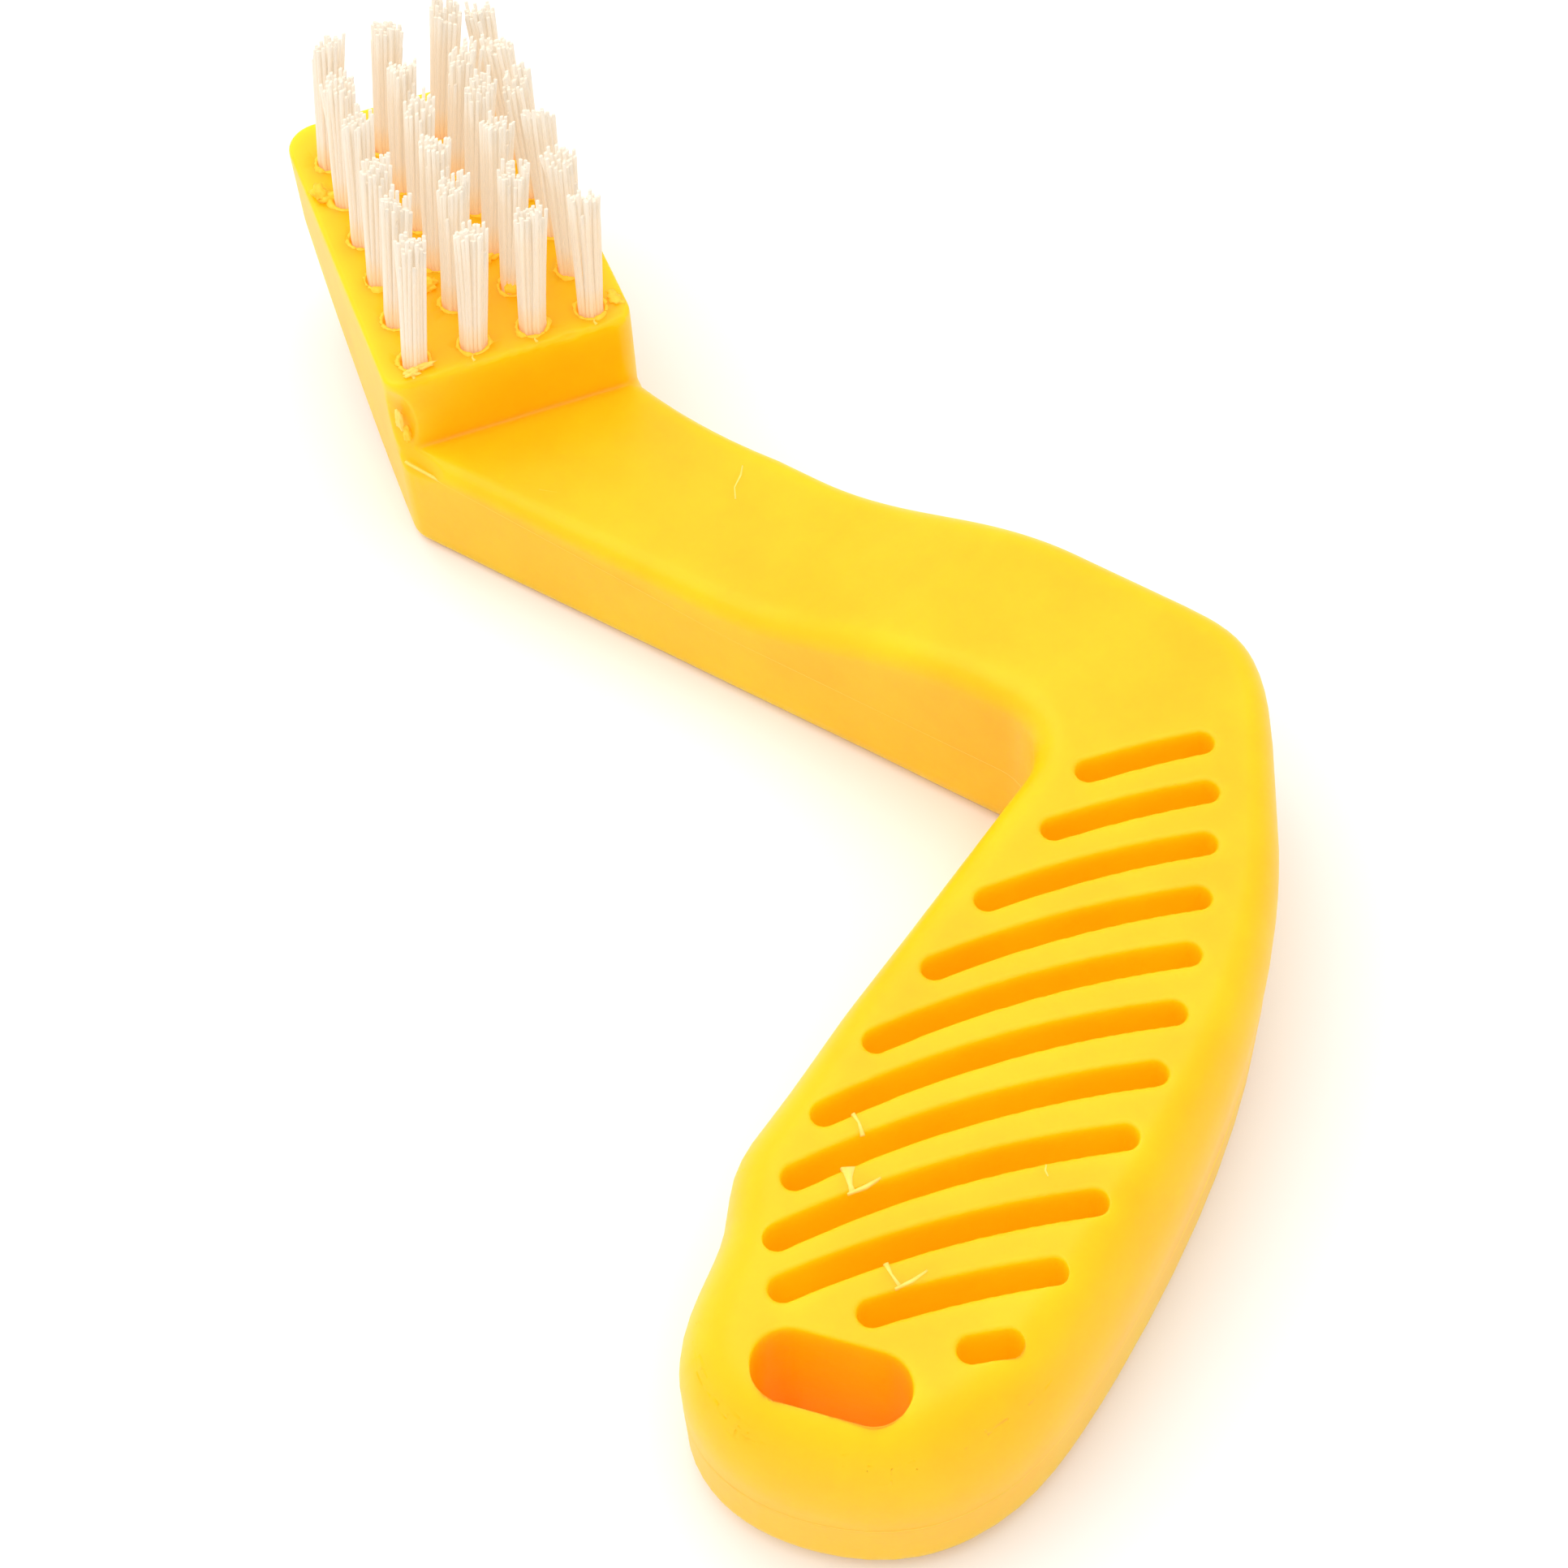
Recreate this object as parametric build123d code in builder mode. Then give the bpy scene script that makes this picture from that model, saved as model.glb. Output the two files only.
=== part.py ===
"""Hand brush with a cranked one-piece handle: moulded body, 24 bristle tufts and their anchor plates.

Millimetres.  The origin lies on the resting plane, under the middle of the step where the neck
leaves the brush head.  +X is to the right across the head, +Y runs to the head's tip, +Z is up,
the way the bristles point.  The handle lies flat, and is cranked sideways in plan.
"""
import os
from math import cos, radians, sin, sqrt, tan

from build123d import *

# ---- Brush head ----
HEAD_WIDTH = 35.8
HEAD_LENGTH = 55.5
FACE_Z = 31.5               # brush face above the resting plane
FRONT_CORNER_R = 3.0        # upright corners of the step at the neck
TIP_CORNER_R = 5.0          # upright corners at the tip
FACE_EDGE_R = 0.6
CHEEK_R = 4.0               # upright corner where the head's left side turns into the neck
ROCKER_START_Y = 3.0        # the underside is flat up to here, then rises to the tip
ROCKER_R = 80.0

# ---- Neck ----
NECK_ANGLE = -53.3          # direction of the neck in plan, from +X
NECK_TOP_Z = 19.0
NECK_FLARE_MIDDLE = (23.8, -10.9)   # the outer side flares out to the head's corner
NECK_FLARE_END = (31.0, -20.6)
NECK_OUTER_END = (65.8, -68.8)      # where the straight outer side runs into the heel
RISE_START = 52.0           # distance along the neck at which its top starts to rise
RISE_END = 93.0             # and at which it reaches the handle's height
RISE_LEAD = 15.0            # length of the flat tangents that shape the rise

# ---- Handle ----
HANDLE_TOP_Z = 29.0
INNER_CORNER = (44.8, -83.9)
INNER_CORNER_R = 8.0
GRIP_EDGE_END = (4.5, -111.1)       # end of the straight edge beside the inner corner
GRIP_CURVE = [
    (-7.3, -119.4), (-14.3, -125.0), (-17.5, -130.5),      # shoulder for the hand
    (-23.0, -136.5), (-28.0, -144.4), (-27.8, -151.6),     # into the butt
    (-19.2, -162.7), (-8.5, -167.5), (4.0, -166.4),        # round the butt
    (14.8, -160.6), (27.2, -151.2), (47.8, -131.6),        # along the outer flank
    (61.4, -111.8), (67.0, -99.3), (70.8, -89.8), (72.2, -80.4),      # round the heel
]

# ---- Edge rounding of the neck and handle ----
TOP_EDGE_R = 2.6
BOTTOM_EDGE_R = 2.2

# ---- Grip slots: the same arc, stepped along the handle and cut to length ----
SLOT_WIDTH = 3.3
SLOT_FLOOR_Z = 20.0
SLOT_ARC_R = 125.0
SLOT_CROWN = (40.4, -91.8)          # highest point of the first slot's arc
SLOT_STEP = (-6.0, -6.3)
SLOT_SPANS = [                      # left and right end of each slot along X
    (43.2, 61.0), (35.8, 58.4), (24.4, 54.9), (14.9, 50.9), (4.9, 46.4), (-4.1, 41.4),
    (-10.1, 36.0), (-14.6, 29.5), (-16.2, 23.0), (-8.2, 15.5), (0.2, 7.7),
]

# ---- Hanging hole ----
HANG_HOLE_CENTRE = (-13.4, -153.9)
HANG_HOLE_LENGTH = 18.0
HANG_HOLE_WIDTH = 8.4
HANG_HOLE_ANGLE = -38.0
RIM_R = 0.4                         # rounded rims of the slots and the hanging hole

# ---- Gate scar: a shallow round dish on the upright corner of the step ----
GATE_R = 16.0
GATE_DEPTH = 1.2
GATE_Z = 24.0

# ---- Tufts ----
ROWS = 6
COLUMNS = 4
TUFT_PITCH = 8.5
FIRST_ROW_Y = 4.0
TUFT_HOLE_R = 2.1
TUFT_HOLE_DEPTH = 9.0
TUFT_HEIGHT = 21.5                  # bristle length above the brush face
TUFT_TIP_R = 2.7
TUFT_LEAN = 6.0                     # degrees, towards +X

# ---- Anchor plates, one pressed across the bottom of each tuft hole ----
ANCHOR_THICKNESS = 0.4
ANCHOR_HEIGHT = 2.2
ANCHOR_LIFT = 0.6                   # folded filaments between the hole's floor and the plate

CLEAR = 10.0                        # how far the cutting shapes run past the body


def slot_line(index):
    """Centre line of one grip slot, between the centres of its round ends."""
    crown_x = SLOT_CROWN[0] + index * SLOT_STEP[0]
    crown_y = SLOT_CROWN[1] + index * SLOT_STEP[1]
    left, right = SLOT_SPANS[index]
    stations = (left + SLOT_WIDTH / 2, (left + right) / 2, right - SLOT_WIDTH / 2)
    points = [(x, crown_y - SLOT_ARC_R + sqrt(SLOT_ARC_R**2 - (x - crown_x) ** 2)) for x in stations]
    return ThreePointArc(*points)


neck_direction = Vector(cos(radians(NECK_ANGLE)), sin(radians(NECK_ANGLE)))
grip_direction = Vector(*GRIP_EDGE_END) - Vector(*INNER_CORNER)       # so the curve leaves the straight edge
flare_direction = Vector(*NECK_FLARE_END) - Vector(*NECK_OUTER_END)   # and meets the neck without a corner
head_left = -HEAD_WIDTH / 2
head_right = HEAD_WIDTH / 2
tuft_grid_y = FIRST_ROW_Y + TUFT_PITCH * (ROWS - 1) / 2
hole_floor_z = FACE_Z - TUFT_HOLE_DEPTH
anchor_z = hole_floor_z + ANCHOR_LIFT
corner_inset = FRONT_CORNER_R * (1 - sqrt(0.5))      # the rounded corner's nearest point, in X and Y
plate_length = 3 * TUFT_HOLE_R      # longer than the hole is wide, then cut to the hole

with BuildPart() as handle_body:
    # Plan of the whole body
    with BuildSketch() as plan:
        with BuildLine():
            Line((head_left, 0), INNER_CORNER)
            Line(INNER_CORNER, GRIP_EDGE_END)
            Spline(GRIP_EDGE_END, *GRIP_CURVE, NECK_OUTER_END, tangents=(grip_direction, flare_direction))
            Line(NECK_OUTER_END, NECK_FLARE_END)
            ThreePointArc(NECK_FLARE_END, NECK_FLARE_MIDDLE, (head_right, 0))
            Polyline((head_right, 0), (head_right, HEAD_LENGTH), (head_left, HEAD_LENGTH), (head_left, 0))
        make_face()
        fillet(plan.vertices().group_by(Axis.Y)[-1], TIP_CORNER_R)
        fillet(plan.vertices().sort_by_distance(Vector(head_left, 0))[0], CHEEK_R)
        fillet(plan.vertices().sort_by_distance(Vector(*INNER_CORNER))[0], INNER_CORNER_R)
    extrude(amount=HANDLE_TOP_Z)

    # The neck's top: low and flat at the head, rising in an S to the handle's top
    neck_side = Plane(origin=(head_left, 0, 0), x_dir=neck_direction,
                      z_dir=neck_direction.cross(Vector(0, 0, 1)))
    cut_start = -2 * HEAD_LENGTH
    cut_top = FACE_Z + CLEAR
    with BuildSketch(neck_side):
        with BuildLine():
            Polyline((RISE_END, HANDLE_TOP_Z), (RISE_END, cut_top), (cut_start, cut_top),
                     (cut_start, NECK_TOP_Z), (RISE_START, NECK_TOP_Z))
            Bezier((RISE_START, NECK_TOP_Z), (RISE_START + RISE_LEAD, NECK_TOP_Z),
                   (RISE_END - RISE_LEAD, HANDLE_TOP_Z), (RISE_END, HANDLE_TOP_Z))
        make_face()
    extrude(amount=HEAD_WIDTH * 3, both=True, mode=Mode.SUBTRACT)

    # Round the top edges along both sides of the neck and all round the handle
    top_edges = handle_body.edges().filter_by(
        lambda e: e.bounding_box().min.Z > NECK_TOP_Z - 0.01 and e.center().Y < -0.1)
    across = top_edges.filter_by(lambda e: e.geom_type == GeomType.LINE
                                 and abs(e.tangent_at(0.5).dot(neck_direction)) < 0.01)
    fillet([e for e in top_edges if e not in across], TOP_EDGE_R)

    # The head block, standing above the neck
    with BuildSketch() as head_plan:
        with Locations((0, HEAD_LENGTH / 2)):
            Rectangle(HEAD_WIDTH, HEAD_LENGTH)
        fillet(head_plan.vertices().group_by(Axis.Y)[-1], TIP_CORNER_R)
        fillet(head_plan.vertices().group_by(Axis.Y)[0], FRONT_CORNER_R)
    extrude(amount=FACE_Z)
    fillet(handle_body.faces().sort_by(Axis.Z)[-1].edges(), FACE_EDGE_R)

    # The head's underside rises in an arc to the tip
    with BuildSketch(Plane.YZ):
        with BuildLine():
            rocker = CenterArc((ROCKER_START_Y, ROCKER_R), ROCKER_R, -90, 45)
            Polyline(rocker @ 1, ((rocker @ 1).X, -CLEAR), (ROCKER_START_Y, -CLEAR), rocker @ 0)
        make_face()
    extrude(amount=HEAD_WIDTH, both=True, mode=Mode.SUBTRACT)

    # Round the bottom edges, along the flat and up the rocker
    rest_face = handle_body.faces().sort_by(Axis.Z)[0]
    rocker_face = handle_body.faces().sort_by_distance(Vector(0, HEAD_LENGTH / 2, 0))[0]
    seam = [e for e in rest_face.edges() if e in rocker_face.edges()]
    under_edges = [e for e in rest_face.edges() + rocker_face.edges() if e not in seam]
    fillet(under_edges, BOTTOM_EDGE_R)

    # Grip slots and hanging hole
    with BuildSketch(Plane.XY.offset(HANDLE_TOP_Z)):
        for index in range(len(SLOT_SPANS)):
            SlotArc(slot_line(index), SLOT_WIDTH)
    extrude(amount=SLOT_FLOOR_Z - HANDLE_TOP_Z, mode=Mode.SUBTRACT)
    with BuildSketch():
        with Locations(Location(HANG_HOLE_CENTRE, HANG_HOLE_ANGLE)):
            SlotOverall(HANG_HOLE_LENGTH, HANG_HOLE_WIDTH)
    extrude(amount=HANDLE_TOP_Z, mode=Mode.SUBTRACT)
    handle_top = handle_body.faces().filter_by(Plane.XY).group_by(Axis.Z)[-2].sort_by(SortBy.AREA)[-1]
    rims = [edge for wire in handle_top.inner_wires() for edge in wire.edges()]
    fillet(rims, RIM_R)

    # Tuft holes
    with Locations((0, tuft_grid_y, FACE_Z)):
        with GridLocations(TUFT_PITCH, TUFT_PITCH, COLUMNS, ROWS):
            Hole(TUFT_HOLE_R, TUFT_HOLE_DEPTH)

    # Gate scar: a ball-shaped cut into the rounded corner
    gate_centre = corner_inset - (GATE_R - GATE_DEPTH) / sqrt(2)
    with Locations((head_left + gate_centre, gate_centre, GATE_Z)):
        Sphere(GATE_R, mode=Mode.SUBTRACT)

handle_body.part.label = "handle_body"

# ---- Tufts, one node each, named by row from the neck and column from the left ----
tufts = []
for row in range(ROWS):
    for column in range(COLUMNS):
        x = (column - (COLUMNS - 1) / 2) * TUFT_PITCH
        y = FIRST_ROW_Y + row * TUFT_PITCH
        with BuildPart() as tuft:
            with BuildSketch(Plane.XY.offset(FACE_Z)):
                with Locations((x, y)):
                    Circle(TUFT_HOLE_R)
            with BuildSketch(Plane.XY.offset(FACE_Z + TUFT_HEIGHT)):
                with Locations((x + TUFT_HEIGHT * tan(radians(TUFT_LEAN)), y)):
                    Circle(TUFT_TIP_R)
            loft()
            with BuildSketch(Plane.XY.offset(hole_floor_z)):
                with Locations((x, y)):
                    Circle(TUFT_HOLE_R)
            extrude(amount=TUFT_HOLE_DEPTH)
            with Locations((x, y, anchor_z)):
                Box(plate_length, ANCHOR_THICKNESS, ANCHOR_HEIGHT,
                    align=(Align.CENTER, Align.CENTER, Align.MIN), mode=Mode.SUBTRACT)
        tuft.part.label = f"tuft_r{row + 1}_c{column + 1}"
        tufts.append(tuft.part)

# ---- Anchor plates: identical, so one node of separate solids ----
with BuildPart() as tuft_anchors:
    with BuildSketch(Plane.XY.offset(anchor_z)):
        with Locations((0, tuft_grid_y)):
            with GridLocations(TUFT_PITCH, TUFT_PITCH, COLUMNS, ROWS):
                Circle(TUFT_HOLE_R)
            with GridLocations(TUFT_PITCH, TUFT_PITCH, COLUMNS, ROWS):
                Rectangle(plate_length, ANCHOR_THICKNESS, mode=Mode.INTERSECT)
    extrude(amount=ANCHOR_HEIGHT)
tuft_anchors.part.label = "tuft_anchors"

os.makedirs("parts", exist_ok=True)
export_step(handle_body.part, "parts/handle_body.step")
export_step(tuft_anchors.part, "parts/tuft_anchors.step")
for tuft_part in tufts:
    export_step(tuft_part, f"parts/{tuft_part.label}.step")
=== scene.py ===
"""The hand brush as it looks: soft-edged moulded yellow body and tufts of separate nylon filaments."""
import math

import bmesh
import bpy
import numpy as np
from mathutils import Matrix, Vector, noise
from mathutils.kdtree import KDTree


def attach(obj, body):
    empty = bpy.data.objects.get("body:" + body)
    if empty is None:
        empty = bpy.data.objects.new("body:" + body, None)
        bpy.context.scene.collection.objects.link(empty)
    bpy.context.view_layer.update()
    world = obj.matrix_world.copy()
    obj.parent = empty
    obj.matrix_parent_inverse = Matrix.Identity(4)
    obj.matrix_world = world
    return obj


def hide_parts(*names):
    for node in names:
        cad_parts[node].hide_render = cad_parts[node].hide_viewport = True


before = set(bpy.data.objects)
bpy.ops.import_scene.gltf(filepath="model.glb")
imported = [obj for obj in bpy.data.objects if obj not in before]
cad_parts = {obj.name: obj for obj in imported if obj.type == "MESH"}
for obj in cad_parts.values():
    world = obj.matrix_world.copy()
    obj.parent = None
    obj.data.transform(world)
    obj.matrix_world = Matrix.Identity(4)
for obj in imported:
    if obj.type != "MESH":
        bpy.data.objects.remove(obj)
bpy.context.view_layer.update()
MM = 0.001
scene = bpy.context.scene
scene.view_settings.view_transform = "Standard"

# ---- Camera ----
CAMERA_PLACE = (-52.0 * MM, -270.7 * MM, 315.6 * MM)
CAMERA_DOWN = 55.0           # degrees below the horizon
CAMERA_TURN = 17.84          # degrees from +Y towards +X
CAMERA_ROLL = -3.65
LENS = 65.38                 # on a 36 mm sensor

camera = bpy.data.objects.new("camera", bpy.data.cameras.new("camera"))
camera.data.lens = LENS
camera.data.sensor_width = 36.0
camera.data.clip_start = 0.01
camera.matrix_world = (Matrix.Translation(CAMERA_PLACE)
                       @ Matrix.Rotation(math.radians(-CAMERA_TURN), 4, "Z")
                       @ Matrix.Rotation(math.radians(90 - CAMERA_DOWN), 4, "X")
                       @ Matrix.Rotation(math.radians(CAMERA_ROLL), 4, "Z"))
scene.collection.objects.link(camera)
scene.camera = camera

# ---- Shape of the body, as the CAD has it ----
HEAD_LEFT = -17.9 * MM       # X of the head's left side, where the neck's outer side starts
NECK_ANGLE = -53.3           # degrees from +X, the way the neck runs off
NECK_TOP = 19.0 * MM
HANDLE_TOP = 29.0 * MM
RISE_START = 52.0 * MM       # along the neck, where its top begins to climb to the handle's
RISE_END = 93.0 * MM
RISE_LEAD = 15.0 * MM        # how far the climb's curve is drawn out level at each end
SECTION_Z = 10.0 * MM        # a height at which the side walls are plain
FACE_Z = 31.5 * MM           # the head's face, which holds the tufts
HOLE_R = 2.1 * MM
TUFT_PITCH = 8.5 * MM
FIRST_ROW_Y = 4.0 * MM
ROWS = 6
COLUMNS = 4

# ---- Fine shaping of the body ----
VOXEL = 0.3 * MM
MAX_FACES = 190000
# Rounding at stations along Y, from the butt to the neck's root, all in mm
ROUND_Y = (-170.0, -150.0, -130.0, -110.0, -88.0, -60.0, -10.0)
TOP_INWARD = (10.0, 9.0, 6.5, 4.8, 3.8, 3.4, 2.6)          # how far the top's rounding reaches in
TOP_DOWN = (16.0, 13.0, 8.5, 5.6, 4.2, 3.6, 2.4)           # and how far down the side
BOTTOM_INWARD = (3.6, 3.4, 3.0, 2.6, 2.4, 2.4, 2.2)
BOTTOM_DOWN = (5.0, 4.8, 4.5, 4.2, 4.0, 4.0, 2.2)
ROUND_BELOW_Y = -2.0 * MM    # the rounding is for the neck and handle, not the head
ROUND_CEILING = 1.15         # and not for what stands this far above their top, as a share of it
UNTOUCHED = 1.0              # metres: a depth that no rounding reaches
WAVE_LENGTH = 16.0 * MM      # gentle unevenness of the moulding
WAVE_HEIGHT = 0.06 * MM
NICK_LENGTH = 1.6 * MM       # small raggedness of the step's upper edge
NICK_HEIGHT = 0.35 * MM
NICK_REACH = 1.2 * MM        # from the edge
NICK_BIAS = 0.3              # nicks cut in more than they stand out

rng = np.random.default_rng(7)


def smoothstep(t):
    t = np.clip(t, 0.0, 1.0)
    return t * t * (3 - 2 * t)


def hole_place(row, column):
    """X and Y of a tuft's hole."""
    return (column - (COLUMNS - 1) / 2) * TUFT_PITCH, FIRST_ROW_Y + row * TUFT_PITCH


def in_metres(numbers):
    """The same numbers, given in mm, as metres."""
    return [n * MM for n in numbers]


def along_neck(x, y):
    """How far a place lies along the neck."""
    angle = math.radians(NECK_ANGLE)
    return (x - HEAD_LEFT) * math.cos(angle) + y * math.sin(angle)


def link(name, mesh):
    """A new object in the scene for a mesh."""
    obj = bpy.data.objects.new(name, mesh)
    scene.collection.objects.link(obj)
    return obj


def applied(obj):
    """The object's mesh with its modifiers applied; the modifiers are gone from the object."""
    mesh = bpy.data.meshes.new_from_object(obj.evaluated_get(bpy.context.evaluated_depsgraph_get()))
    obj.modifiers.clear()
    obj.data = mesh
    return mesh


def coordinates(mesh):
    """The mesh's vertices as rows of X, Y and Z."""
    co = np.empty(len(mesh.vertices) * 3)
    mesh.vertices.foreach_get("co", co)
    return co.reshape(-1, 3)


def outline_points(mesh, z, spacing=0.4 * MM):
    """Points along the mesh's outer outline at height z, each with its inward normal."""
    bm = bmesh.new()
    bm.from_mesh(mesh)
    bmesh.ops.remove_doubles(bm, verts=bm.verts, dist=0.002 * MM)
    cut = bmesh.ops.bisect_plane(bm, geom=bm.verts[:] + bm.edges[:] + bm.faces[:],
                                 plane_co=(0, 0, z), plane_no=(0, 0, 1))
    edges = [e for e in cut["geom_cut"] if isinstance(e, bmesh.types.BMEdge)]

    # The cut's edges, chained into loops
    links = {}
    for e in edges:
        a, b = e.verts
        links.setdefault(a, []).append(b)
        links.setdefault(b, []).append(a)
    loops = []
    left = dict.fromkeys(links)
    while left:
        loop = [left.popitem()[0]]
        while True:
            onward = [v for v in links[loop[-1]] if v in left]
            if not onward:
                break
            left.pop(onward[0])
            loop.append(onward[0])
        loops.append(np.array([v.co[:2] for v in loop]))
    bm.free()

    outer = max(loops, key=lambda loop: np.ptp(loop[:, 1]))
    following = np.roll(outer, -1, axis=0)
    turn = np.sum(outer[:, 0] * following[:, 1] - following[:, 0] * outer[:, 1])
    points, normals = [], []
    for a, b in zip(outer, following):
        run = b - a
        length = np.hypot(*run)
        if length < 1e-7:
            continue
        inward = np.array([-run[1], run[0]]) / length * np.sign(turn)
        for t in np.arange(0.5 * spacing, max(length, 0.51 * spacing), spacing) / max(length, spacing):
            points.append(a + run * t)
            normals.append(inward)
    return np.array(points), np.array(normals)


def top_height(along):
    """Height of the neck's and handle's top at a distance along the neck: an S between two flats."""
    t = np.linspace(0, 1, 60)
    ease = 3 * (1 - t) * t**2 + t**3
    x = ((1 - t) ** 3 * RISE_START + 3 * (1 - t) ** 2 * t * (RISE_START + RISE_LEAD)
         + 3 * (1 - t) * t**2 * (RISE_END - RISE_LEAD) + t**3 * RISE_END)
    return np.interp(along, x, NECK_TOP + (HANDLE_TOP - NECK_TOP) * ease)


def rounded(co, side, depth, inward, down, edge_z, upward):
    """Pulls the corner of the side wall and a flat face onto an ellipse.

    side points inward from the wall, depth is each vertex's distance from it, and upward is 1 for the
    top face and -1 for the bottom one.
    """
    out = (inward - depth) / inward
    up = (upward * (co[:, 2] - edge_z) + down) / down
    reach = np.hypot(out, up)
    beyond = (out > 0) & (up > 0) & (reach > 1) & (up < ROUND_CEILING)
    pull = np.where(beyond, 1 - 1 / np.maximum(reach, 1e-9), 0)
    co[:, :2] += side * (out * inward * pull)[:, None]
    co[:, 2] -= upward * up * down * pull


def make_body():
    """The body as an even mesh, with the handle's soft edges, nicks and a slight waviness.

    Also gives the points and inward normals of its outline, for the marks that follow it.
    """
    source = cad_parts["handle_body"].data
    body = link("body_shell", source.copy())
    remesh = body.modifiers.new("even", "REMESH")
    remesh.mode = "VOXEL"
    remesh.voxel_size = VOXEL
    mesh = applied(body)

    co = coordinates(mesh)
    points, inward = outline_points(source, SECTION_Z)
    tree = KDTree(len(points))
    for i, p in enumerate(points):
        tree.insert((p[0], p[1], 0), i)
    tree.balance()
    low = co[:, 1] < ROUND_BELOW_Y
    nearest = np.zeros(len(co), int)
    nearest[low] = [tree.find((p[0], p[1], 0))[1] for p in co[low]]
    side = inward[nearest]
    depth = np.where(low, np.sum((co[:, :2] - points[nearest]) * side, axis=1), UNTOUCHED)

    top = top_height(along_neck(co[:, 0], co[:, 1]))
    place = co[:, 1] / MM
    rounded(co, side, depth, np.interp(place, ROUND_Y, TOP_INWARD) * MM,
            np.interp(place, ROUND_Y, TOP_DOWN) * MM, top, 1)
    rounded(co, side, depth, np.interp(place, ROUND_Y, BOTTOM_INWARD) * MM,
            np.interp(place, ROUND_Y, BOTTOM_DOWN) * MM, 0, -1)

    mesh.vertices.foreach_set("co", co.ravel())
    mesh.update()
    normals = np.empty(len(co) * 3)
    mesh.vertex_normals.foreach_get("vector", normals)
    normals = normals.reshape(-1, 3)
    wave = np.array([noise.noise(Vector(p) / WAVE_LENGTH) for p in co]) * WAVE_HEIGHT
    edge = (smoothstep((NICK_REACH - np.abs(co[:, 1])) / MM)
            * smoothstep((co[:, 2] - FACE_Z + NICK_REACH) / MM))
    ragged = np.nonzero(edge > 0.01)[0]
    wave[ragged] += [(noise.noise(Vector(co[i]) / NICK_LENGTH) - NICK_BIAS) * NICK_HEIGHT * edge[i]
                     for i in ragged]
    co += normals * wave[:, None]
    co[:, 2] = np.maximum(co[:, 2], 0)
    mesh.vertices.foreach_set("co", co.ravel())
    mesh.update()

    thin = body.modifiers.new("thin", "DECIMATE")
    thin.ratio = min(1.0, MAX_FACES / (2 * len(mesh.polygons)))
    mesh = applied(body)
    mesh.polygons.foreach_set("use_smooth", [True] * len(mesh.polygons))
    return body, points, inward


# ---- Marks of moulding and drilling on the body, in mm ----
YELLOW, PALE = 0, 1          # the two materials of the marks
FACE = FACE_Z / MM
TOP = HANDLE_TOP / MM
NECK = NECK_TOP / MM

LIP_STATIONS = 56
LIP_OVERHANG = 0.10          # how far a burr stands in over its hole
LIP_WIDTH = 0.30
LIP_HEIGHT = 0.06
LIP_FLAP = 0.90              # added to the width and height where the burr is thrown up

# Swarf left on the face: place, radii, how crumpled, material. The place's X also seeds the crumpling.
SWARF = (
    ((3.8, 11.4, FACE + 0.7), (1.15, 1.1, 1.0), 0.25, YELLOW),
    ((-16.1, 40.2, FACE + 0.5), (1.0, 1.5, 1.0), 0.9, YELLOW),
    ((-15.0, 39.0, FACE + 0.3), (1.5, 0.7, 0.6), 0.9, YELLOW),
    ((-6.9, 16.6, FACE + 0.4), (1.3, 1.0, 0.8), 0.8, YELLOW),
    ((-13.7, 1.5, FACE + 0.3), (1.3, 0.5, 0.5), 0.8, PALE),
    ((-11.9, 2.0, FACE + 0.5), (1.3, 0.35, 0.35), 0.8, PALE),
    ((2.4, 18.4, FACE + 0.4), (1.0, 0.5, 0.7), 0.9, YELLOW),
    ((16.4, 4.4, FACE + 0.1), (0.9, 1.3, 0.35), 0.7, YELLOW),
    ((5.6, 27.0, FACE + 0.3), (0.8, 0.6, 0.5), 0.8, YELLOW),
)
CRACK_X = (-13.6, -5.0, 4.0, 12.6)
CRACK_WIDTHS = (0.22, 0.3, 0.5)
CRACK_HEIGHT = 0.06

STRIP_SINK = 0.3             # how far down into the body a strip's sides go

# Flash between the slots, then scratches on the neck: path, width at each point, height
FLASH = (
    (((0.5, -125.3, TOP), (0.7, -126.6, TOP), (0.5, -128.3, TOP)), (0.55, 0.35, 0.6), 0.10),
    (((-2.5, -131.4, TOP), (-2.9, -132.6, TOP), (-3.1, -133.6, TOP), (-3.2, -134.5, TOP)),
     (1.9, 1.0, 0.6, 0.9), 0.10),
    (((-3.8, -134.5, TOP), (-1.6, -134.4, TOP), (0.4, -134.0, TOP)), (0.25, 0.55, 0.25), 0.12),
    (((-3.0, -143.9, TOP), (-2.9, -145.4, TOP), (-2.6, -147.0, TOP)), (0.7, 0.3, 0.5), 0.10),
    (((-3.2, -147.1, TOP), (-1.0, -146.9, TOP), (0.9, -146.4, TOP)), (0.3, 0.5, 0.25), 0.12),
    (((18.2, -139.4, TOP), (17.8, -140.0, TOP), (17.8, -140.8, TOP)), (0.2, 0.25, 0.2), 0.05),
    (((25.4, -20.7, NECK), (24.6, -22.2, NECK), (23.0, -24.0, NECK), (22.4, -26.0, NECK)),
     (0.2, 0.35, 0.2, 0.3), 0.03),
    (((-2.0, -14.0, NECK), (3.0, -17.4, NECK), (9.0, -18.4, NECK), (14.5, -18.0, NECK)),
     (0.08, 0.14, 0.12, 0.06), 0.012),
)
PARTING_Z = (17.0, 12.5)     # at the head and along the handle
PARTING_SLOPE_END = 55.0     # along the neck
PARTING_SECTION = ((0.4, -0.16), (-0.04, 0.0), (0.4, 0.16))    # inward and up, from the side wall


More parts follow.
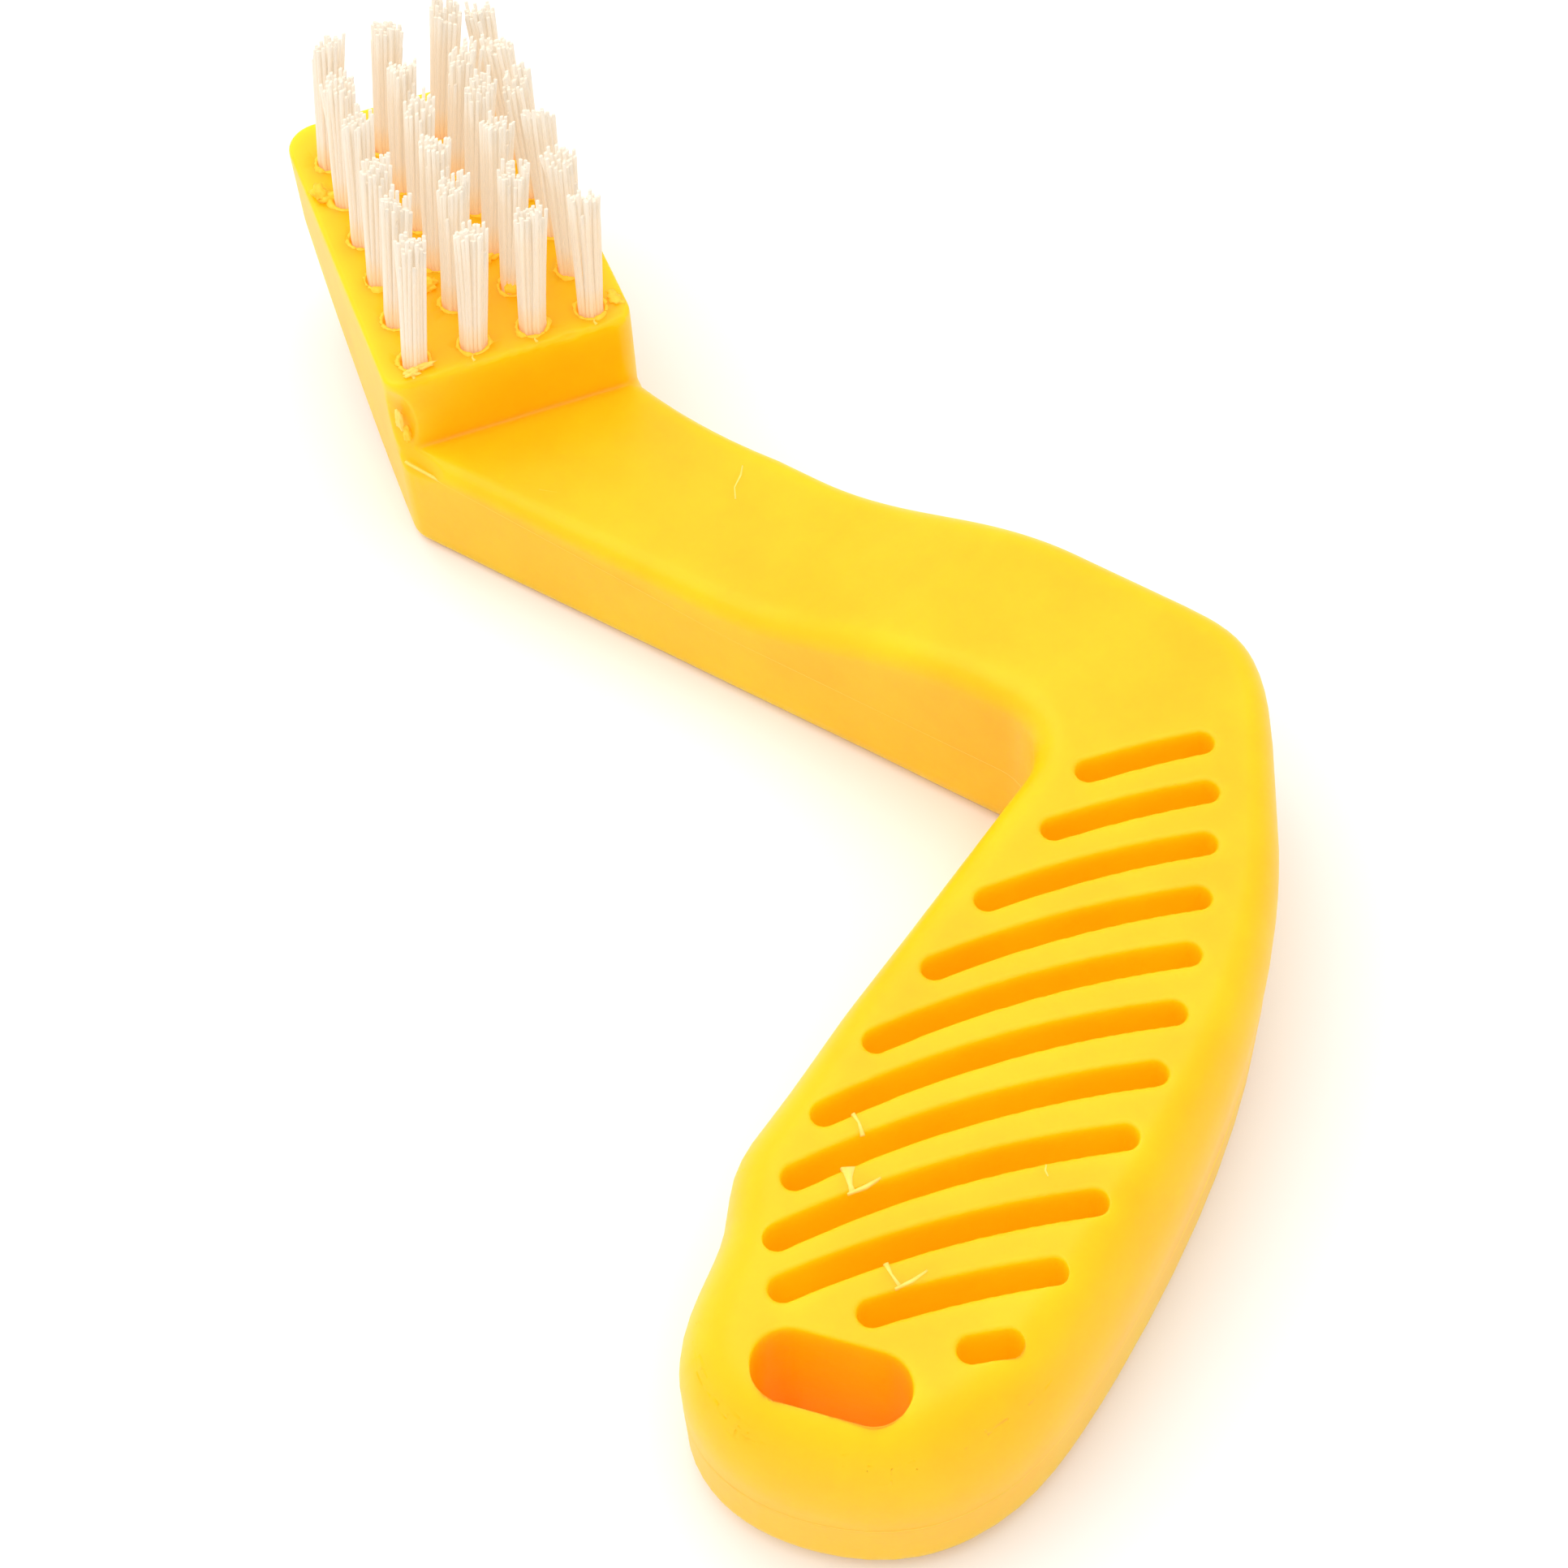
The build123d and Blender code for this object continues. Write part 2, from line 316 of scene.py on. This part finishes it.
class Marks:
    """Small raised shapes on the body, gathered into one mesh, each with its material's slot."""

    def __init__(self):
        self.verts, self.faces, self.slots = [], [], []

    def add(self, verts, faces, slot):
        base = len(self.verts)
        self.verts += [tuple(v) for v in verts]
        self.faces += [tuple(base + i for i in face) for face in faces]
        self.slots += [slot] * len(faces)

    def sweep(self, sections, closed, slot):
        """A skin over equal rings of points, closed end to end or capped."""
        rings, size = len(sections), len(sections[0])
        verts = [v for section in sections for v in section]
        faces = []
        for i in range(rings if closed else rings - 1):
            here, there = i * size, ((i + 1) % rings) * size
            for k in range(size):
                m = (k + 1) % size
                faces.append((here + k, here + m, there + m, there + k))
        if not closed:
            faces.append(tuple(reversed(range(size))))
            faces.append(tuple((rings - 1) * size + k for k in range(size)))
        self.add(verts, faces, slot)

    def strip(self, path, widths, height, slot):
        """A low raised line on an upward face, along path points, with a width at each."""
        sections = []
        for i, point in enumerate(path):
            point = Vector(point)
            before, after = Vector(path[max(i - 1, 0)]), Vector(path[min(i + 1, len(path) - 1)])
            run = (after - before).normalized()
            across = Vector((-run.y, run.x, 0)) * widths[i] / 2
            up = Vector((0, 0, height))
            down = Vector((0, 0, -STRIP_SINK * MM))
            sections.append([point - across + down, point - across * 0.8 + up * 0.6, point + up,
                             point + across * 0.8 + up * 0.6, point + across + down])
        self.sweep(sections, False, slot)

    def lump(self, place, radii, crumple, seed, slot):
        """A crumpled bit of swarf."""
        bm = bmesh.new()
        bmesh.ops.create_icosphere(bm, subdivisions=3, radius=1)
        for v in bm.verts:
            wide = noise.noise(v.co * 1.3 + Vector((seed, 0, 0)))
            fine = noise.noise(v.co * 3.5 + Vector((0, seed, 0)))
            v.co *= 1 + crumple * (wide + 0.7 * fine)
            v.co = Vector(place) + Vector([c * r for c, r in zip(v.co, radii)])
        bm.verts.index_update()
        self.add([v.co for v in bm.verts], [[v.index for v in f.verts] for f in bm.faces], slot)
        bm.free()

    def lip(self, x, y, seed):
        """The burr that a drill leaves round a hole: slow noise throws it up, quick noise frays it."""
        sections = []
        for i in range(LIP_STATIONS):
            a = 2 * math.pi * i / LIP_STATIONS
            c, s = math.cos(a), math.sin(a)
            slow = noise.noise(Vector((c * 1.2, s * 1.2, seed)))
            quick = noise.noise(Vector((c * 6.0, s * 6.0, seed + 9)))
            flap = LIP_FLAP * max(slow, 0)
            inner = HOLE_R - (LIP_OVERHANG + 0.10 * quick) * MM
            outer = HOLE_R + (LIP_WIDTH + flap + 0.25 * quick) * MM
            height = (LIP_HEIGHT + flap + 0.30 * quick) * MM
            profile = [(inner, -0.6 * MM), (inner, height * 0.5), (inner * 0.6 + outer * 0.4, height),
                       (outer, 0.02 * MM), (outer + 0.05 * MM, -0.3 * MM)]
            sections.append([(x + r * c, y + r * s, FACE_Z + z) for r, z in profile])
        self.sweep(sections, True, YELLOW)


def add_gate_nub(marks):
    """The broken nub of the gate, in its dish on the step's corner."""
    marks.lump((HEAD_LEFT + 1.0 * MM, 1.0 * MM, 24.3 * MM), (0.5 * MM, 0.6 * MM, 1.8 * MM), 0.5, 4.0, PALE)
    marks.lump((HEAD_LEFT + 1.6 * MM, 0.7 * MM, 21.5 * MM), (0.5 * MM, 0.4 * MM, 1.5 * MM), 0.5, 5.0, YELLOW)


def add_cracks(marks):
    """Pale cracks from the front row of holes to the step's edge."""
    for x in CRACK_X:
        path = ((x, 1.9, FACE), (x - 0.25, 1.3, FACE), (x - 0.1, 0.7, FACE))
        marks.strip([in_metres(point) for point in path], in_metres(CRACK_WIDTHS), CRACK_HEIGHT * MM, PALE)


def add_parting_line(marks, points, inward):
    """A hair-thin ridge round the sides of the neck and handle, where the mould's halves met."""
    run = [i for i in range(len(points)) if points[i][1] < 0]
    start = next((k for k in range(len(run)) if run[k] - run[k - 1] > 1), 0)
    sections = []
    for i in run[start:] + run[:start]:
        x, y = points[i]
        z = np.interp(along_neck(x, y) / MM, (0, PARTING_SLOPE_END), PARTING_Z) * MM
        nx, ny = inward[i]
        sections.append([(x + nx * d * MM, y + ny * d * MM, z + h * MM) for d, h in PARTING_SECTION])
    marks.sweep(sections, False, PALE)


def make_marks(points, inward):
    """Everything small that stands on the body."""
    marks = Marks()
    for row in range(ROWS):
        for column in range(COLUMNS):
            seed = 3.1 * row + 7.7 * column    # a burr of its own at each hole
            marks.lip(*hole_place(row, column), seed)
    for place, radii, crumple, slot in SWARF:
        marks.lump(in_metres(place), in_metres(radii), crumple, place[0], slot)
    add_gate_nub(marks)
    add_cracks(marks)
    for path, widths, height in FLASH:
        marks.strip([in_metres(point) for point in path], in_metres(widths), height * MM, PALE)
    add_parting_line(marks, points, inward)

    mesh = bpy.data.meshes.new("mould_marks")
    mesh.from_pydata(marks.verts, [], marks.faces)
    mesh.polygons.foreach_set("material_index", marks.slots)
    mesh.polygons.foreach_set("use_smooth", [True] * len(mesh.polygons))
    mesh.update()
    return link("mould_marks", mesh)


# ---- Filaments ----
ROOT_R = 2.02 * MM           # the bundle inside its hole
FILAMENT_R = 0.27 * MM
ROOT_DEPTH = 4.0 * MM        # how far down the hole the filaments are made
PACKING = 2.06               # the distance between neighbours, in radii of a filament
LEAN = (7.5, 6.3, 5.5, 2.5)  # degrees towards +X, column by column
LEAN_BY_ROW = (0.0, 0.5, 0.7, -1.0)   # and how it changes from row to row
LENGTHS = [                  # bristle lengths above the face, mm, row by row from the neck
    (21.0, 19.8, 20.0, 20.5), (20.5, 20.8, 20.0, 20.5), (20.5, 21.0, 21.3, 20.5),
    (21.0, 20.5, 21.0, 20.3), (20.5, 20.5, 20.5, 20.0), (21.0, 20.8, 21.6, 19.5),
]
SPREAD = 0.27                # how much wider a bundle is at its tips
SPREAD_POWER = 1.4           # it widens more and more on the way up
SHORT_SHARE = 0.10           # filaments that are broken or cut short
SHORT_BY = (1.0, 4.0)        # mm
STRAY_SHARE = 0.04           # filaments that stand away from the rest
TIP_SLANT = 0.35             # of a cut end, in radii of a filament
CUT_SLANT = 0.5              # of a whole tuft's cut, as a slope
# How much chance there is in each, as a standard deviation
LEAN_CHANCE = 0.5            # degrees
SIDEWAYS_CHANCE = 0.8        # degrees
PLACE_CHANCE = 0.03 * MM
LENGTH_CHANCE = 0.5 * MM
SPREAD_CHANCE = 0.16 * MM
STRAY_CHANCE = 0.9 * MM
BEND_CHANCE = 0.10 * MM
SIDES = 6
RINGS = 6


def bundle_places():
    """Centres of the filaments across a tuft: a close hexagonal packing inside the hole."""
    step = PACKING * FILAMENT_R
    span = int(ROOT_R / step) + 2
    places = []
    for i in range(-span, span + 1):
        for j in range(-span, span + 1):
            x = (i + 0.5 * (j % 2)) * step
            y = j * step * math.sqrt(3) / 2
            if math.hypot(x, y) < ROOT_R - FILAMENT_R * 0.6:
                places.append((x, y))
    return places


def add_filament(verts, faces, centres, spin):
    """A closed tube through the centres, its cut end slanted in a direction given by spin."""
    base = len(verts)
    for ring, (x, y, z) in enumerate(centres):
        for s in range(SIDES):
            a = 2 * math.pi * s / SIDES
            tip = TIP_SLANT * FILAMENT_R * math.cos(a + spin) if ring == RINGS - 1 else 0
            verts.append((x + FILAMENT_R * math.cos(a), y + FILAMENT_R * math.sin(a), FACE_Z + z + tip))
    for ring in range(RINGS - 1):
        for s in range(SIDES):
            a, b = base + ring * SIDES + s, base + ring * SIDES + (s + 1) % SIDES
            faces.append((a, b, b + SIDES, a + SIDES))
    faces.append(tuple(base + s for s in reversed(range(SIDES))))
    faces.append(tuple(base + (RINGS - 1) * SIDES + s for s in range(SIDES)))


def make_tuft(row, column):
    """One tuft: filaments that leave the hole together, lean, spread a little and end unevenly."""
    centre = np.array(hole_place(row, column))
    length = LENGTHS[row][column] * MM
    lean = math.tan(math.radians(LEAN[column] + LEAN_BY_ROW[column] * row + rng.normal(0, LEAN_CHANCE)))
    lean_y = math.tan(math.radians(rng.normal(0, SIDEWAYS_CHANCE)))
    spin = rng.uniform(0, math.pi)
    turn = np.array([[math.cos(spin), -math.sin(spin)], [math.sin(spin), math.cos(spin)]])
    slant = rng.normal(0, CUT_SLANT, 2)
    verts, faces = [], []
    for place in bundle_places():
        at = turn @ np.array(place) + rng.normal(0, PLACE_CHANCE, 2)
        tall = length + np.dot(slant, at) + rng.normal(0, LENGTH_CHANCE)
        if rng.random() < SHORT_SHARE:
            tall -= rng.uniform(*SHORT_BY) * MM
        spread = at * SPREAD + rng.normal(0, SPREAD_CHANCE, 2)
        if rng.random() < STRAY_SHARE:
            spread += rng.normal(0, STRAY_CHANCE, 2)
        bend = rng.normal(0, BEND_CHANCE, 2)
        centres = []
        for z in np.linspace(-ROOT_DEPTH, tall, RINGS):
            rise = max(z, 0) / length
            mid = (centre + at + np.array([lean, lean_y]) * max(z, 0) + spread * rise ** SPREAD_POWER
                   + bend * math.sin(math.pi * rise))
            centres.append((mid[0], mid[1], z))
        add_filament(verts, faces, centres, spin)
    mesh = bpy.data.meshes.new(f"filaments_r{row + 1}_c{column + 1}")
    mesh.from_pydata(verts, [], faces)
    mesh.polygons.foreach_set("use_smooth", [len(p.vertices) == 4 for p in mesh.polygons])
    mesh.update()
    return link(mesh.name, mesh)


# ---- Materials ----
# The body's slots and holes get a painted glow, an orange emission that rises with ambient occlusion
SLOT_PAINTED_GLOW = 0.35                  # painted glow: emission at the bottom of a slot, in place of light scattered through the plastic
SLOT_PAINTED_GLOW_COLOUR = (1.0, 0.36, 0.0, 1)
SLOT_PAINTED_GLOW_FROM = 0.55             # how open a spot is where the painted glow begins: 1 in the open, 0 shut in
SLOT_PAINTED_GLOW_REACH = 15.0 * MM
ROOT_PAINTED_LIGHT_REACH = 5.0 * MM   # how far up the bristles the body's orange light is painted in


def new_material(name):
    """A node material, its node tree and its Principled shader."""
    material = bpy.data.materials.new(name)
    material.use_nodes = True
    tree = material.node_tree
    return material, tree, tree.nodes["Principled BSDF"]


def node(tree, kind, **values):
    """A node with its inputs set by name."""
    made = tree.nodes.new(kind)
    for key, value in values.items():
        made.inputs[key].default_value = value
    return made


def object_place(tree):
    """The place on the object, as a socket."""
    return tree.nodes.new("ShaderNodeTexCoord").outputs["Object"]


def colour_ramp(tree, factor, first, second, stops=(0.0, 1.0)):
    """A colour that goes from first to second with a factor, as a socket."""
    ramp = tree.nodes.new("ShaderNodeValToRGB")
    for element, stop, colour in zip(ramp.color_ramp.elements, stops, (first, second)):
        element.position = stop
        element.color = colour
    tree.links.new(factor, ramp.inputs["Fac"])
    return ramp.outputs["Color"]


def yellow_plastic():
    """Soft yellow plastic that scatters light under its surface, with a painted glow in its slots and holes.
    """
    material, tree, shader = new_material("yellow_plastic")
    links = tree.links
    place = object_place(tree)
    shader.inputs["Roughness"].default_value = 0.38
    shader.inputs["IOR"].default_value = 1.34
    shader.inputs["Subsurface Weight"].default_value = 0.8
    shader.inputs["Subsurface Radius"].default_value = (1.0, 0.9, 0.1)
    shader.inputs["Subsurface Scale"].default_value = 0.009
    # Painted glow: an emission that grows where ambient occlusion finds a spot shut in, in the slots and
    # holes, lights them as if by light that has wandered through the plastic
    enclosed = node(tree, "ShaderNodeAmbientOcclusion", Distance=SLOT_PAINTED_GLOW_REACH)
    enclosed.only_local = True
    enclosed.samples = 4
    painted_glow = tree.nodes.new("ShaderNodeMapRange")
    painted_glow.inputs["From Min"].default_value = SLOT_PAINTED_GLOW_FROM
    painted_glow.inputs["From Max"].default_value = 0.0
    painted_glow.inputs["To Max"].default_value = SLOT_PAINTED_GLOW
    links.new(enclosed.outputs["AO"], painted_glow.inputs["Value"])
    links.new(painted_glow.outputs["Result"], shader.inputs["Emission Strength"])
    shader.inputs["Emission Color"].default_value = SLOT_PAINTED_GLOW_COLOUR
    cloud = node(tree, "ShaderNodeTexNoise", Scale=60.0, Detail=5.0, Roughness=0.6)
    links.new(place, cloud.inputs["Vector"])
    colour = colour_ramp(tree, cloud.outputs["Fac"], (0.98, 0.495, 0.002, 1), (0.985, 0.56, 0.004, 1),
                         stops=(0.35, 0.7))
    links.new(colour, shader.inputs["Base Color"])
    grain = node(tree, "ShaderNodeTexNoise", Scale=900.0, Detail=4.0, Roughness=0.6)
    links.new(place, grain.inputs["Vector"])
    bump = node(tree, "ShaderNodeBump", Strength=0.12, Distance=0.0002)
    links.new(grain.outputs["Fac"], bump.inputs["Height"])
    links.new(bump.outputs["Normal"], shader.inputs["Normal"])
    return material


def torn_plastic(name, deep, pale):
    """Thin torn plastic, between two colours, with a painted glow, in place of a little light coming through
    it, that lifts its shaded undersides.
    """
    material, tree, shader = new_material(name)
    cloud = node(tree, "ShaderNodeTexNoise", Scale=1500.0, Detail=3.0)
    tree.links.new(object_place(tree), cloud.inputs["Vector"])
    colour = colour_ramp(tree, cloud.outputs["Fac"], deep, pale)
    tree.links.new(colour, shader.inputs["Base Color"])
    shader.inputs["Roughness"].default_value = 0.5
    shader.inputs["IOR"].default_value = 1.38
    # Painted glow: an emission in the plastic's own colours lightens the shaded sides of the bits
    tree.links.new(colour, shader.inputs["Emission Color"])
    shader.inputs["Emission Strength"].default_value = 0.3
    return material


def bristle_nylon():
    """Milky nylon that passes light on, with painted light: the body's orange light painted in towards its
    root, and a painted glow all along.
    """
    material, tree, shader = new_material("bristle_nylon")
    links = tree.links
    height = tree.nodes.new("ShaderNodeSeparateXYZ")
    links.new(object_place(tree), height.inputs["Vector"])
    climb = tree.nodes.new("ShaderNodeMapRange")
    climb.inputs["From Min"].default_value = FACE_Z
    climb.inputs["From Max"].default_value = FACE_Z + ROOT_PAINTED_LIGHT_REACH
    links.new(height.outputs["Z"], climb.inputs["Value"])
    # Painted light from the body: the bristles' colour warms towards their root
    colour = colour_ramp(tree, climb.outputs["Result"], (0.93, 0.79, 0.56, 1), (0.90, 0.84, 0.745, 1))
    links.new(colour, shader.inputs["Base Color"])
    shader.inputs["Roughness"].default_value = 0.4
    shader.inputs["IOR"].default_value = 1.4
    # Painted glow: an emission in the bristles' colour stands in for light scattered through them
    links.new(colour, shader.inputs["Emission Color"])
    shader.inputs["Emission Strength"].default_value = 0.27
    passed = tree.nodes.new("ShaderNodeBsdfTranslucent")
    links.new(colour, passed.inputs["Color"])
    mix = node(tree, "ShaderNodeMixShader", Fac=0.5)
    links.new(shader.outputs["BSDF"], mix.inputs[1])
    links.new(passed.outputs["BSDF"], mix.inputs[2])
    links.new(mix.outputs["Shader"], tree.nodes["Material Output"].inputs["Surface"])
    return material


def anchor_steel():
    """Bright steel, for the plates that hold the tufts down in their holes."""
    material, _, shader = new_material("anchor_steel")
    shader.inputs["Base Color"].default_value = (0.62, 0.61, 0.58, 1)
    shader.inputs["Metallic"].default_value = 1.0
    shader.inputs["Roughness"].default_value = 0.3
    return material


# ---- Pieces ----
plastic = yellow_plastic()
swarf = torn_plastic("swarf", (0.98, 0.42, 0.005, 1), (0.99, 0.58, 0.05, 1))
flash = torn_plastic("pale_flash", (0.98, 0.52, 0.05, 1), (0.99, 0.62, 0.16, 1))
nylon = bristle_nylon()
steel = anchor_steel()

body, outline, outline_normals = make_body()
body.data.materials.clear()
body.data.materials.append(plastic)
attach(body, "root")
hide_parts("handle_body")

marks = make_marks(outline, outline_normals)
marks.data.materials.append(swarf)
marks.data.materials.append(flash)
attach(marks, "root")

for row in range(ROWS):
    for column in range(COLUMNS):
        tuft = make_tuft(row, column)
        tuft.data.materials.append(nylon)
        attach(tuft, "root")
        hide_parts(f"tuft_r{row + 1}_c{column + 1}")

for plate_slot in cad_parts["tuft_anchors"].material_slots:
    plate_slot.material = steel

# ---- Floor, world and lights ----
FLOOR_SIZE = 6
WORLD_STRENGTH = 0.84
KEY_PLACE = (-0.15, 0.1, 1.0)
KEY_SIZE = 1.6
KEY_POWER = 10.5
LIT_POINT = (0.02, -0.06, 0.02)   # the middle of the brush

bpy.ops.mesh.primitive_plane_add(size=FLOOR_SIZE, location=(0, 0, 0))
floor = bpy.context.object
floor.name = "floor"
paper, _, paper_shader = new_material("paper")
paper_shader.inputs["Base Color"].default_value = (0.9, 0.9, 0.9, 1)
paper_shader.inputs["Roughness"].default_value = 0.9
floor.data.materials.append(paper)

world = bpy.data.worlds.new("studio")
world.use_nodes = True
world.node_tree.nodes["Background"].inputs["Color"].default_value = (1.0, 1.0, 1.0, 1)
world.node_tree.nodes["Background"].inputs["Strength"].default_value = WORLD_STRENGTH
scene.world = world

key = bpy.data.objects.new("key", bpy.data.lights.new("key", "AREA"))
key.data.size = KEY_SIZE
key.data.energy = KEY_POWER
key.location = KEY_PLACE
key.rotation_euler = (Vector(LIT_POINT) - Vector(KEY_PLACE)).to_track_quat("-Z", "Y").to_euler()
scene.collection.objects.link(key)
